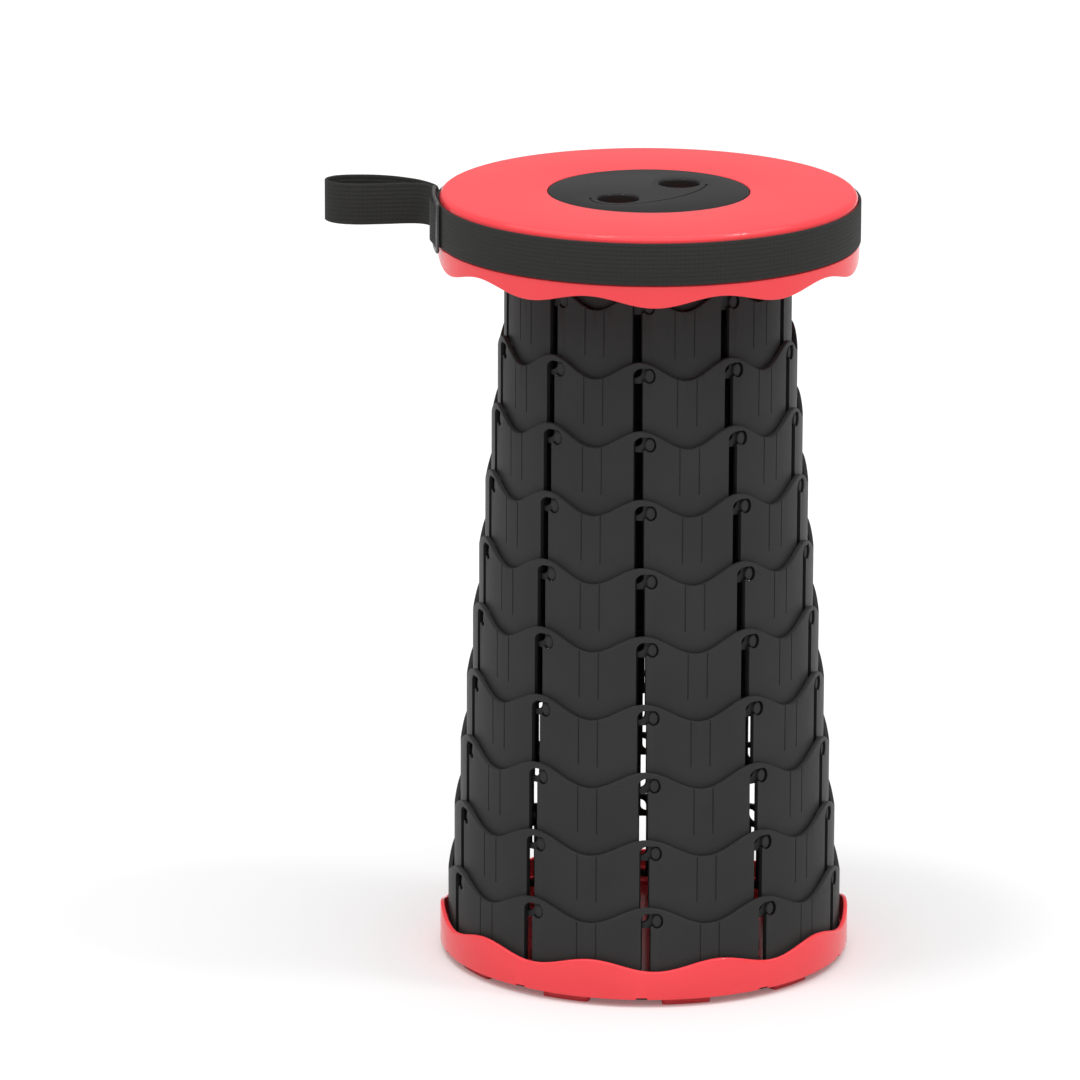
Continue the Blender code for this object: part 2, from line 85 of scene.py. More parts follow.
PLATE = 0.0023
LID_ROUND = 0.0038
LID_WALL = 0.0022
STRAP_TO_LEDGE = 0.0012
LEDGE = 0.0011
SKIRT_WALL = 0.0014
SKIRT_DROP = 0.0092
SKIRT_WAVE = 0.006
SKIRT_TURN = math.radians(1.9)
DISC_RADIUS = 0.0585
DISC_HEIGHT = 0.007
DISC_PLATE = 0.0026
DISC_RIM = 0.002
DISC_GAP = 0.0004
WELL_WALL = 0.002
WELL_FLOOR = 0.0018
HOLE_RADIUS = 0.0118
HOLE_COLLAR = 0.0022
HOLE_OFFSET = 0.0275
HOLE_LINE = math.radians(50)
CUP_STEP = 0.0006
CUP_WALL = 0.0016
CUP_DEPTH = 0.0165
LINE_BREADTH = 0.0235

STRAP_WIDTH = 0.0244
STRAP_THICKNESS = 0.0015
BUCKLE_HEIGHT = 0.031
BUCKLE_THICKNESS = 0.0018
BUCKLE_SWEEP = math.radians(22)
BUCKLE_TURN = math.radians(-86)
BUCKLE_BAR = 0.0032
LOOP_TURN = math.radians(-99.15)
LOOP_PARTING = 0.001
LOOP_ROUTE = [
    (0.0020, 0.0072),
    (0.0074, 0.0134),
    (0.0158, 0.0148),
    (0.0318, 0.0122),
    (0.0468, 0.0106),
    (0.0588, 0.0140),
    (0.0650, 0.0240),
    (0.0598, 0.0334),
    (0.0458, 0.0366),
    (0.0288, 0.0344),
    (0.0134, 0.0262),
    (0.0054, 0.0180),
    (0.0002, 0.0090),
]

BASE_BOTTOM = PAD_HEIGHT + FIT_GAP
FLOOR_TOP = BASE_BOTTOM + BASE_FLOOR
STAGE_TRAVEL = OUTER_RING_HEIGHT - SEAT_BELOW_CREST - PIN_ABOVE_EDGE
RING_RISE = STAGE_TRAVEL + NEST_RISE
RIM_INNER = OUTER_RING_RADIUS + RIM_GAP
RIM_OUTER = RIM_INNER + RIM_WALL
SKIRT_INNER = RIM_OUTER + FIT_GAP
SKIRT_OUTER = SKIRT_INNER + SKIRT_WALL
LID_OUTER = SKIRT_OUTER - LEDGE
LID_INNER = LID_OUTER - LID_WALL
STRAP_INNER = LID_OUTER + SLIDE_GAP
STRAP_OUTER = STRAP_INNER + STRAP_THICKNESS
WELL_RADIUS = DISC_RADIUS + DISC_GAP
LOOP_RADIUS = STRAP_OUTER + SLIDE_GAP + STRAP_THICKNESS + LOOP_PARTING / 2

# Light levels, the ways the lamps shine, the floor's tone and its lift towards white where it is seen
SKY_LEVEL = 0.3
TOP_KEY = 2.7
SIDE_KEY = 0.42
TOP_WAY = (0.0, 0.2, -0.98)
LEFT_WAY = (0.25, 0.12, -0.96)
RIGHT_WAY = (-0.50, 0.10, -0.86)
TOP_SPREAD = math.radians(100)
SIDE_SPREAD = math.radians(9)
FLOOR_TONE = 0.73
FLOOR_LIFT = 0.12
FLOOR_SIZE = 12

# The camera: lens and sensor in millimetres, place in metres
LENS = 259.803
SENSOR = 36.0
CAMERA_PLACE = (0, -4.41959, 1.42991)
CAMERA_PAN = math.radians(0.80898)
CAMERA_DIP = math.radians(14.96763)
CAMERA_SPIN = math.radians(0.19127)

# Finish sizes that only the looks have
COLUMNS = 240
LEAF_POINTS = 40
LEAF_STEP = math.radians(2)
SHARP_ANGLE = math.radians(32)
WELD = 1e-6
SEAM_WELD = 5e-6
EDGE = 0.0005
FINE_EDGE = 0.0003
SLOT_TOE = 0.0036
SLOT_FLARE = 0.0007
SEAT_REACH = 0.0034
SEAT_SAG = 0.0039
TRACK_DEPTH = 0.0018
NOTCH_RISE = 0.0013
NOTCH_REACH = 0.0015
RIM_ROUND = 0.0012
RIM_EDGE = 0.0008
PAD_ROUND = 0.0015
PAD_EDGE = 0.0004
LID_EDGE = 0.0004
SKIRT_EDGE = 0.0006
CUP_ROUND = 0.003
BORE_ROUND = 0.0025
DISC_EDGE = 0.0006
HOLE_LIP = 0.0015
LINE_LENGTH = 0.0445
LINE_START = math.radians(36)
LINE_END = math.radians(214)
LINE_DEPTH = 0.0007
LINE_STEPS = 48
GROOVE_WIDTH = 0.0007
GROOVE_DEPTH = 0.0005
GROOVE_SPREAD = 0.0058
GROOVE_LENGTH = 0.027
STRAP_EDGE = 0.0006
LOOP_STEPS = 10
TUCK_STEPS = 30
ROW_PITCH = 0.00244
STITCH_PITCH = 0.0026
BUCKLE_BOW = 0.22
BUCKLE_ROUND = 0.0032
BUCKLE_EDGE = 0.0006
WINDOW_ROUND = 0.001


def ring_radius(ring):
    return OUTER_RING_RADIUS - (RINGS - ring) * RING_PITCH


def ring_crest(ring):
    return FLOOR_TOP + FIT_GAP + OUTER_RING_HEIGHT + (RINGS - ring) * RING_RISE


def seat_height(ring):
    return ring_crest(ring) - SEAT_BELOW_CREST


def ring_bottom(ring):
    if ring == RINGS:
        return FLOOR_TOP + FIT_GAP
    return seat_height(ring + 1) - PIN_ABOVE_EDGE


def slot_angle(ring):
    return SLOT_TURN - (RINGS - ring) * RING_TWIST


def seat_angle(ring):
    return slot_angle(ring) + math.asin(SEAT_OFFSET / ring_radius(ring))


PLATE_BOTTOM = ring_crest(2) + STAGE_TRAVEL + SLIDE_GAP
SEAT_TOP = PLATE_BOTTOM + PLATE
STRAP_TOP = SEAT_TOP - LID_ROUND
STRAP_BOTTOM = STRAP_TOP - STRAP_WIDTH
STRAP_MIDDLE = (STRAP_TOP + STRAP_BOTTOM) / 2
LEDGE_TOP = STRAP_BOTTOM - STRAP_TO_LEDGE


# Mesh helpers
def polar(radius, angle, height):
    """A point round the stool's axis: angle 0 is the front, and it grows to the viewer's right."""
    return (radius * math.sin(angle), -radius * math.cos(angle), height)


def arc(centre, radius, first, last, steps):
    """Points along an arc, with the angles in degrees."""
    points = []
    for step in range(steps + 1):
        angle = math.radians(first + (last - first) * step / steps)
        points.append((centre[0] + radius * math.cos(angle), centre[1] + radius * math.sin(angle)))
    return points


def rounded(corners, steps=3):
    """A closed outline from (x, y, radius, extra...) corners. Each corner is rounded by its radius."""
    outline = []
    for index, (x, y, radius, *extra) in enumerate(corners):
        here = Vector((x, y))
        before = Vector(corners[index - 1][:2]) - here
        after = Vector(corners[(index + 1) % len(corners)][:2]) - here
        half = before.angle(after) / 2
        if radius == 0 or abs(half - math.pi / 2) < 1e-4:
            outline.append((x, y, *extra))
            continue
        reach = radius / math.tan(half)
        start = here + before.normalized() * reach
        end = here + after.normalized() * reach
        centre = here + (before.normalized() + after.normalized()).normalized() * radius / math.sin(half)
        first = start - centre
        last = end - centre
        sweep = math.atan2(first.cross(last), first.dot(last))
        for step in range(steps + 1):
            spoke = Matrix.Rotation(sweep * step / steps, 2) @ first
            outline.append((*(centre + spoke), *extra))
    return outline


def mesh_from(bm, name):
    """A mesh with its faces turned outwards from an edit mesh, which is then freed."""
    bmesh.ops.recalc_face_normals(bm, faces=bm.faces)
    mesh = bpy.data.meshes.new(name)
    bm.to_mesh(mesh)
    bm.free()
    return mesh


def turned(profile, columns=COLUMNS, lift=None):
    """A closed profile of (radius, height, sway) turned round the axis.

    A point is raised by its sway times lift(angle), so that an edge can wave.
    """
    bm = bmesh.new()
    grid = []
    for column in range(columns):
        angle = math.tau * column / columns
        raise_by = lift(angle) if lift else 0.0
        grid.append([bm.verts.new(polar(r, angle, z + sway * raise_by)) for r, z, sway in profile])
    for column in range(columns):
        here = grid[column]
        there = grid[(column + 1) % columns]
        for index in range(len(profile)):
            after = (index + 1) % len(profile)
            bm.faces.new((here[index], there[index], there[after], here[after]))
    bmesh.ops.remove_doubles(bm, verts=bm.verts, dist=WELD)
    return bm


def wave(height, turn):
    """A wave round the axis with one crest per leaf."""
    return lambda angle: height / 2 * math.cos(LEAVES * (angle - turn))


def panel(outlines, thickness, edge):
    """A flat panel with rounded edges from outlines: the outside first, then its holes."""
    curve = bpy.data.curves.new("panel", "CURVE")
    curve.dimensions = "2D"
    curve.fill_mode = "BOTH"
    curve.extrude = thickness / 2 - edge
    curve.bevel_depth = edge
    curve.bevel_resolution = 1
    curve.offset = -edge
    for points in outlines:
        spline = curve.splines.new("POLY")
        spline.points.add(len(points) - 1)
        for point, (x, y) in zip(spline.points, points):
            point.co = (x, y, 0, 1)
        spline.use_cyclic_u = True
    return curve_mesh(curve)


def curve_mesh(curve):
    """The welded mesh of a curve, which is then removed."""
    holder = bpy.data.objects.new("holder", curve)
    bpy.context.scene.collection.objects.link(holder)
    bpy.context.view_layer.update()
    graph = bpy.context.evaluated_depsgraph_get()
    mesh = bpy.data.meshes.new_from_object(holder.evaluated_get(graph))
    bpy.data.objects.remove(holder)
    bpy.data.curves.remove(curve)
    bm = bmesh.new()
    bm.from_mesh(mesh)
    bpy.data.meshes.remove(mesh)
    bmesh.ops.remove_doubles(bm, verts=bm.verts, dist=WELD)
    return mesh_from(bm, "panel")


def box_mesh(low, high):
    """A box between two corners, for cutting."""
    bm = bmesh.new()
    bmesh.ops.create_cube(bm, size=1.0)
    for vert in bm.verts:
        vert.co = [a + (b - a) * (c + 0.5) for a, b, c in zip(low, high, vert.co)]
    return mesh_from(bm, "box")


def joined(meshes, name):
    """One mesh from several, which are then removed."""
    bm = bmesh.new()
    for mesh in meshes:
        bm.from_mesh(mesh)
        bpy.data.meshes.remove(mesh)
    return mesh_from(bm, name)


def combined(mesh, tools):
    """The mesh after Boolean steps, each an (operation, tool mesh) pair."""
    piece = bpy.data.objects.new("work", mesh)
    bpy.context.scene.collection.objects.link(piece)
    helpers = []
    for operation, tool in tools:
        helper = bpy.data.objects.new("tool", tool)
        bpy.context.scene.collection.objects.link(helper)
        helpers.append(helper)
        modifier = piece.modifiers.new("cut", "BOOLEAN")
        modifier.operation = operation
        modifier.solver = "EXACT"
        modifier.object = helper
    bpy.context.view_layer.update()
    graph = bpy.context.evaluated_depsgraph_get()
    result = bpy.data.meshes.new_from_object(piece.evaluated_get(graph))
    for extra in [piece] + helpers:
        data = extra.data
        bpy.data.objects.remove(extra)
        bpy.data.meshes.remove(data)
    return result


def facing(angle, radius, height):
    """Places a local XY outline square to the radius at an angle, with local Z outwards."""
    turn = Matrix.Rotation(angle, 4, "Z")
    reach = Matrix.Translation((0, -radius, height))
    return turn @ reach @ Matrix.Rotation(math.pi / 2, 4, "X")


def drum(radius, low, high, edge, columns=24):
    """A short round bar along local Z with a rounded outer end."""
    corners = [(0, low, 0), (radius, low, 0), (radius, high, edge), (0, high, 0)]
    profile = [(r, z, 0.0) for r, z in rounded(corners)]
    return mesh_from(turned(profile, columns), "drum")


def bend_columns(bm, first, last, step):
    """Cuts a flat mesh at even steps along X, so that it can be rolled."""
    count = max(1, round((last - first) / step))
    for index in range(1, count):
        x = first + (last - first) * index / count
        bmesh.ops.bisect_plane(
            bm, geom=[*bm.verts, *bm.edges, *bm.faces], dist=1e-7, plane_co=(x, 0, 0), plane_no=(1, 0, 0)
        )


def roll(bm, radius, thickness, turn):
    """Rolls a flat mesh round the axis: X along the outer face, Y up, Z outwards."""
    for vert in bm.verts:
        x, y, z = vert.co
        vert.co = polar(radius - thickness / 2 + z, turn + x / radius, y)


def add_piece(name, mesh, body, node, slot, *materials):
    """Makes a mesh into a piece on a body, in place of a CAD node if one is named."""
    mesh.name = name
    for material in materials:
        mesh.materials.append(material)
    mesh.shade_smooth()
    mesh.set_sharp_from_angle(angle=SHARP_ANGLE)
    piece = bpy.data.objects.new(name, mesh)
    bpy.context.scene.collection.objects.link(piece)
    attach(piece, body)
    if node:
        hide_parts(node)
    return piece


# Leaf rings
def j_slot(ring):
    """Outline of a J-slot: a slot with a rounded toe, its rounded crown and the oval seat beside it."""
    seat = seat_height(ring)
    left = -SLOT_WIDTH / 2
    right = SLOT_WIDTH / 2
    low = ring_bottom(ring) + SLOT_FLOOR
    corners = [(left, low, EDGE), (right, low, SLOT_TOE), (right, seat - SEAT_LIP, EDGE)]
    for x, y in arc((0, 0), 1, 220, 450, 18):
        height = SEAT_RISE if y > 0 else SEAT_SAG
        corners.append((SEAT_OFFSET + x * SEAT_REACH, seat + y * height, 0))
    corners.append((left, seat + SEAT_RISE, SLOT_CROWN))
    return [point[:2] for point in rounded(corners, 5)]


def leaf_outline(ring, step):
    """Outline of one leaf, a step and a half longer at each end than its share of the ring."""
    radius = ring_radius(ring)
    bottom = ring_bottom(ring)
    reach = (LEAF_POINTS + 3) / 2 * step
    if ring == 1:
        top = PLATE_BOTTOM - FIT_GAP
        return [(-reach, bottom), (reach, bottom), (reach, top), (-reach, top)]
    lift = wave(WAVE_HEIGHT, CREST_TURN)
    middle = ring_crest(ring) - WAVE_HEIGHT / 2
    outline = [(-reach, bottom), (reach, bottom)]
    for index in range(LEAF_POINTS + 4):
        x = reach - index * step
        outline.append((x, middle + lift(x / radius)))
    return outline


def flare_cut(ring):
    """Cutter that widens the outer half of a slot towards the leaf's face."""
    half = SLOT_WIDTH / 2
    low = ring_bottom(ring) + SLOT_FLOOR
    top = seat_height(ring) + SEAT_RISE
    corners = [(-half, low, EDGE), (half, low, SLOT_TOE), (half, top, 0), (-half, top, SLOT_CROWN)]
    outline = [point[:2] for point in rounded(corners, 5)]
    bm = bmesh.new()
    loops = []
    # From just inside the middle of the wall to just outside its face, in halves of the wall
    for depth in (-0.2, 1.2):
        spread = 1 + depth * SLOT_FLARE / half
        loops.append([bm.verts.new((x * spread, y, depth * RING_WALL / 2)) for x, y in outline])
        bm.faces.new(loops[-1])
    for index in range(len(outline)):
        after = (index + 1) % len(outline)
        bm.faces.new((loops[0][index], loops[0][after], loops[1][after], loops[1][index]))
    return mesh_from(bm, "flare")


def leaf_cuts(ring, pitch):
    """Cutters for one leaf: the slot's flare, the blind track behind the seat and two fine lines."""
    radius = ring_radius(ring)
    seat = seat_height(ring)
    half = PIN_RADIUS + SLIDE_GAP
    face = RING_WALL / 2
    low = seat - STAGE_TRAVEL - PIN_RISE - SLIDE_GAP
    track = box_mesh((SEAT_OFFSET - half, low, -2 * face), (SEAT_OFFSET + half, seat, TRACK_DEPTH - face))
    cuts = [flare_cut(ring), track]
    trough = CREST_TURN * radius + pitch / 2
    top = ring_crest(ring)
    end = top - WAVE_HEIGHT - GROOVE_LENGTH
    half = GROOVE_WIDTH / 2
    for x in (trough - GROOVE_SPREAD, trough - pitch + GROOVE_SPREAD):
        groove = box_mesh((-half, end, -half), (half, top, half))
        groove.transform(Matrix.Translation((x, 0, face + half - GROOVE_DEPTH)))
        cuts.append(groove)
    return [("DIFFERENCE", cut) for cut in cuts]


def match_ends(bm, reach):
    """Gives both ends of a flat leaf the same points, so that neighbouring leaves weld."""
    near = 2e-6
    for side in (-1, 1):
        rim = [edge for edge in bm.edges if all(abs(v.co.x - side * reach) < near for v in edge.verts)]
        mine = [v.co.copy() for v in bm.verts if abs(v.co.x - side * reach) < near]
        theirs = [v.co for v in bm.verts if abs(v.co.x + side * reach) < near]
        for _, y, z in theirs:
            point = Vector((side * reach, y, z))
            if any((co - point).length < near for co in mine):
                continue
            for edge in rim:
                first, last = edge.verts
                spot, share = intersect_point_line(point, first.co, last.co)
                if 0 < share < 1 and (spot - point).length < near:
                    rim.append(bmesh.utils.edge_split(edge, first, share)[0])
                    mine.append(point)
                    break


def paint_slot_shade(bm, ring):
    """Gives the walls of a flat leaf's slot, which lean well away from its face, the second material, a
    darker black of painted shade.
    """
    low = ring_bottom(ring) + SLOT_FLOOR - EDGE
    high = seat_height(ring) + SEAT_RISE + EDGE
    left = -SLOT_WIDTH / 2 - SLOT_FLARE
    right = SEAT_OFFSET + SEAT_REACH + EDGE
    bm.normal_update()
    for face in bm.faces:
        x, y, _ = face.calc_center_median()
        if left < x < right and low < y < high and abs(face.normal.z) < 0.7:
            face.material_index = 1


def leaf_ring(ring, body, material, painted_shade_material):
    """A ring of leaves: one is made flat, cut, rolled and repeated, and the ring's pins are added."""
    radius = ring_radius(ring)
    pitch = math.tau * radius / LEAVES
    outlines = [leaf_outline(ring, pitch / LEAF_POINTS)]
    if ring > 1:
        outlines.append(list(reversed(j_slot(ring))))
    leaf = panel(outlines, RING_WALL, EDGE)
    if ring > 1:
        leaf = combined(leaf, leaf_cuts(ring, pitch))
    bm = bmesh.new()
    bm.from_mesh(leaf)
    bpy.data.meshes.remove(leaf)
    bmesh.ops.triangulate(bm, faces=bm.faces)
    for side in (-1, 1):
        bmesh.ops.bisect_plane(
            bm, geom=[*bm.verts, *bm.edges, *bm.faces], dist=1e-7,
            plane_co=(side * pitch / 2, 0, 0), plane_no=(side, 0, 0), clear_outer=True
        )
    match_ends(bm, pitch / 2)
    if ring > 1:
        paint_slot_shade(bm, ring)
    bend_columns(bm, -pitch / 2, pitch / 2, LEAF_STEP * radius)
    roll(bm, radius, RING_WALL, slot_angle(ring))
    sector = mesh_from(bm, "sector")
    whole = bmesh.new()
    for leaf_index in range(LEAVES):
        copy = sector.copy()
        copy.transform(Matrix.Rotation(math.tau * leaf_index / LEAVES, 4, "Z"))
        whole.from_mesh(copy)
        bpy.data.meshes.remove(copy)
    bpy.data.meshes.remove(sector)
    bmesh.ops.remove_doubles(whole, verts=whole.verts, dist=SEAM_WELD)
    mesh = mesh_from(whole, "ring")
    if ring < RINGS:
        mesh = joined([mesh, ring_pins(ring)], "ring")
    name = f"leaf_ring_{ring:02d}"
    node = f"leg_ring_{ring:02d}"
    add_piece(name, mesh, body, node, "black_leaf", material, painted_shade_material)


def ring_pins(ring):
    """The oval pins of a ring, rooted in its wall, which end in the wall of the next ring out."""
    root = ring_radius(ring) - PIN_ROOT
    tip = ring_radius(ring + 1) - RING_WALL + TRACK_DEPTH - FIT_GAP
    pin = drum(PIN_RADIUS, 0, tip - root, EDGE)
    pin.transform(Matrix.Diagonal((1, PIN_RISE / PIN_RADIUS, 1, 1)))
    pins = []
    for leaf in range(LEAVES):
        copy = pin.copy()
        copy.transform(facing(seat_angle(ring + 1) + leaf * math.tau / LEAVES, root, seat_height(ring + 1)))
        pins.append(copy)
    bpy.data.meshes.remove(pin)
    return joined(pins, "pins")


# Base
def base_tray(material, painted_shade_material):
    """The base: a wavy rim with notches in its lower edge, a dished floor and a step round the outer ring."""
    top = BASE_BOTTOM + RIM_HEIGHT
    step_radius = OUTER_RING_RADIUS + 2 * FIT_GAP
    corners = [
        (RIM_INNER, top, RIM_EDGE, 1.0),
        (RIM_OUTER, top, RIM_ROUND, 1.0),
        (RIM_OUTER, BASE_BOTTOM, RIM_EDGE, 0.0),
        (DISH_RADIUS, BASE_BOTTOM, EDGE, 0.0),
        (DISH_RADIUS, BASE_BOTTOM - DISH_DEPTH, EDGE, 0.0),
        (0, BASE_BOTTOM - DISH_DEPTH, 0, 0.0),
        (0, FLOOR_TOP - DISH_DEPTH, 0, 0.0),
        (DISH_RADIUS - BASE_FLOOR, FLOOR_TOP - DISH_DEPTH, EDGE, 0.0),
        (DISH_RADIUS - BASE_FLOOR, FLOOR_TOP, EDGE, 0.0),
        (step_radius, FLOOR_TOP, 0, 0.0),
        (step_radius, FLOOR_TOP + STEP_HEIGHT, EDGE, 0.0),
        (RIM_INNER, FLOOR_TOP + STEP_HEIGHT, EDGE, 0.0),
    ]
    bm = turned(rounded(corners), lift=wave(RIM_WAVE, RIM_TURN + math.pi / LEAVES))
    notches = []
    for leaf in range(LEAVES):
        notch = box_mesh(
            (-NOTCH_WIDTH / 2, -RIM_OUTER - NOTCH_REACH, BASE_BOTTOM - NOTCH_RISE),
            (NOTCH_WIDTH / 2, -RIM_OUTER + NOTCH_REACH, BASE_BOTTOM + NOTCH_RISE),
        )
        notch.transform(Matrix.Rotation(NOTCH_TURN + leaf * math.tau / LEAVES, 4, "Z"))
        notches.append(notch)
    mesh = combined(mesh_from(bm, "base"), [("DIFFERENCE", joined(notches, "notches"))])
    # The backs of the notches are the only faces this far in at their height; they get the darker black,
    # painted shade
    for face in mesh.polygons:
        x, y, z = face.center
        if 0.1 < (z - BASE_BOTTOM) / NOTCH_RISE < 0.9 and math.hypot(x, y) < RIM_OUTER - 0.9 * NOTCH_REACH:
            face.material_index = 1
    add_piece("base_shell", mesh, "base", "base_tray", "red_shell", material, painted_shade_material)


def foot_pad(leaf, material):
    """A flat pad bent along the base's edge."""
    outer = RIM_OUTER - PAD_INSET
    inner = outer - PAD_WIDTH
    middle = (outer + inner) / 2
    length = PAD_SWEEP * middle
    width = PAD_WIDTH
    corners = [
        (-length / 2, -width / 2, PAD_ROUND),
        (length / 2, -width / 2, PAD_ROUND),
        (length / 2, width / 2, PAD_ROUND),
        (-length / 2, width / 2, PAD_ROUND),
    ]
    bm = bmesh.new()
    bm.from_mesh(panel([[p[:2] for p in rounded(corners)]], PAD_HEIGHT, PAD_EDGE))
    bend_columns(bm, -length / 2, length / 2, LEAF_STEP * middle)
    turn = NOTCH_TURN + PAD_AFTER_NOTCH + leaf * math.tau / LEAVES
    for vert in bm.verts:
        x, y, z = vert.co
        vert.co = polar(middle - y, turn + x / middle, PAD_HEIGHT / 2 + z)
    mesh = mesh_from(bm, "pad")
    name = f"foot_pad_{leaf + 1:02d}"
    add_piece(f"base_{name}", mesh, "base", name, "foot", material)


# Seat
def hole_spots():
    """Where the two finger holes lie."""
    x = HOLE_OFFSET * math.cos(HOLE_LINE)
    y = HOLE_OFFSET * math.sin(HOLE_LINE)
    return [(x, y), (-x, -y)]


def at_holes(corners, columns=64):
    """One turned solid at each finger hole."""
    meshes = []
    for x, y in hole_spots():
        profile = [(r, z, 0.0) for r, z in rounded(corners, 4)]
        mesh = mesh_from(turned(profile, columns), "hole")
        mesh.transform(Matrix.Translation((x, y, 0)))
        meshes.append(mesh)
    return joined(meshes, "holes")


def seat_lid(material):
    """The seat: its plate with a rounded edge, the wall, the wavy skirt, and the well with its two cups."""
    well_floor = SEAT_TOP - DISC_HEIGHT - FIT_GAP
    well_bottom = well_floor - WELL_FLOOR
    tips = LEDGE_TOP - SKIRT_DROP
    ledge = STRAP_BOTTOM - FIT_GAP
    corners = [
        (0, well_floor, 0, 0.0),
        (WELL_RADIUS, well_floor, 0, 0.0),
        (WELL_RADIUS, SEAT_TOP, LID_EDGE, 0.0),
        (LID_OUTER, SEAT_TOP, LID_ROUND, 0.0),
        (LID_OUTER, ledge, FINE_EDGE, 0.0),
        (SKIRT_OUTER, ledge - LEDGE / 2, LID_EDGE, 0.0),
        (SKIRT_OUTER, tips, SKIRT_EDGE, 1.0),
        (SKIRT_INNER, tips, FINE_EDGE, 1.0),
        (SKIRT_INNER, LEDGE_TOP - LEDGE, 0, 0.0),
        (LID_INNER, LEDGE_TOP + LEDGE, 0, 0.0),
        (LID_INNER, PLATE_BOTTOM, 0, 0.0),
        (WELL_RADIUS + WELL_WALL, PLATE_BOTTOM, 0, 0.0),
        (WELL_RADIUS + WELL_WALL, well_bottom, 0, 0.0),
        (0, well_bottom, 0, 0.0),
    ]
    bm = turned(rounded(corners, 6), lift=wave(SKIRT_WAVE, SKIRT_TURN + math.pi / LEAVES))
    bore = HOLE_RADIUS - CUP_STEP
    cup = bore + CUP_WALL
    cup_bottom = well_floor - CUP_DEPTH
    lip = well_floor - WELL_FLOOR / 2
    foot = cup_bottom - CUP_WALL
    cups = at_holes([(0, lip, 0), (cup, lip, 0), (cup, foot, CUP_ROUND), (0, foot, 0)])
    bores = at_holes([
        (0, SEAT_TOP, 0),
        (bore, SEAT_TOP, 0),
        (bore, cup_bottom, BORE_ROUND),
        (0, cup_bottom, 0),
    ])
    mesh = combined(mesh_from(bm, "lid"), [("UNION", cups), ("DIFFERENCE", bores)])
    add_piece("seat_shell", mesh, "seat", "seat_lid", "red_shell", material)


def arc_line():
    """A fine rod along part of an ellipse round the finger holes."""
    curve = bpy.data.curves.new("line", "CURVE")
    curve.dimensions = "3D"
    curve.bevel_depth = LINE_DEPTH
    curve.bevel_resolution = 1
    curve.use_fill_caps = True
    spline = curve.splines.new("POLY")
    spline.points.add(LINE_STEPS)
    for step, point in enumerate(spline.points):
        angle = LINE_START + (LINE_END - LINE_START) * step / LINE_STEPS
        along = LINE_LENGTH * math.cos(angle)
        across = LINE_BREADTH * math.sin(angle)
        x = along * math.cos(HOLE_LINE) + across * math.sin(HOLE_LINE)
        y = along * math.sin(HOLE_LINE) - across * math.cos(HOLE_LINE)
        point.co = (x, y, SEAT_TOP, 1)
    return curve_mesh(curve)


def seat_disc(material):
    """The inlay: a plate with a rim and collars below, two lipped finger holes and the arc line."""
    bottom = SEAT_TOP - DISC_HEIGHT
    underside = SEAT_TOP - DISC_PLATE
    corners = [
        (0, SEAT_TOP, 0),
        (DISC_RADIUS, SEAT_TOP, DISC_EDGE),
        (DISC_RADIUS, bottom, FINE_EDGE),
        (DISC_RADIUS - DISC_RIM, bottom, FINE_EDGE),
        (DISC_RADIUS - DISC_RIM, underside, 0),
        (0, underside, 0),
    ]
    bm = turned([(r, z, 0.0) for r, z in rounded(corners)])
    collar = HOLE_RADIUS + HOLE_COLLAR
    high = SEAT_TOP - DISC_PLATE / 2
    collars = at_holes([(0, high, 0), (collar, high, 0), (collar, bottom, FINE_EDGE), (0, bottom, 0)])
    past = 0.002
    far = HOLE_RADIUS + 2 * past
    above = SEAT_TOP + past
    below = bottom - past
    cuts = at_holes([
        (0, above, 0),
        (far, above, 0),
        (far, SEAT_TOP, 0),
        (HOLE_RADIUS, SEAT_TOP, HOLE_LIP),
        (HOLE_RADIUS, below, 0),
        (0, below, 0),
    ])
    steps = [("UNION", collars), ("DIFFERENCE", cuts), ("DIFFERENCE", arc_line())]
    mesh = combined(mesh_from(bm, "disc"), steps)
    add_piece("seat_inlay", mesh, "seat", "seat_disc", "black_leaf", material)


# Strap
def strap_section():
    """Cross-section of the webbing as (outwards, upwards) from its middle."""
    half = STRAP_THICKNESS / 2
    edge = STRAP_WIDTH / 2
    spots = [(-half, edge), (half, edge), (half, -edge), (-half, -edge)]
    return [point[:2] for point in rounded([(*spot, STRAP_EDGE) for spot in spots])]


def strap_band(material):
    """The webbing round the seat, with its lengths in a UV map."""
    middle = (STRAP_INNER + STRAP_OUTER) / 2
    profile = [(middle + out, STRAP_MIDDLE + up, 0.0) for out, up in strap_section()]
    mesh = mesh_from(turned(profile), "band")
    layer = mesh.uv_layers.new(name="strap")
    for polygon in mesh.polygons:
        centre = polygon.center
        base = math.atan2(centre.x, -centre.y)
        for index in polygon.loop_indices:
            x, y, z = mesh.vertices[mesh.loops[index].vertex_index].co
            angle = math.atan2(x, -y)
            angle += math.tau * round((base - angle) / math.tau)
            layer.data[index].uv = (angle * STRAP_OUTER, z - STRAP_BOTTOM)
    piece = add_piece("strap_webbing", mesh, "seat", "strap_band", "webbing", material)


def smooth_route(points, per_span):
    """A smooth curve through points, with even steps in each span."""
    padded = [2 * points[0] - points[1]] + points + [2 * points[-1] - points[-2]]
    route = []
    for index in range(1, len(padded) - 2):
        a, b, c, d = padded[index - 1:index + 3]
        for step in range(per_span):
            t = step / per_span
            slope_in = (c - a) / 2
            slope_out = (d - b) / 2
            route.append(
                b * (2 * t ** 3 - 3 * t ** 2 + 1) + slope_in * (t ** 3 - 2 * t ** 2 + t)
                + c * (3 * t ** 2 - 2 * t ** 3) + slope_out * (t ** 3 - t ** 2)
            )
    route.append(points[-1])
    return route


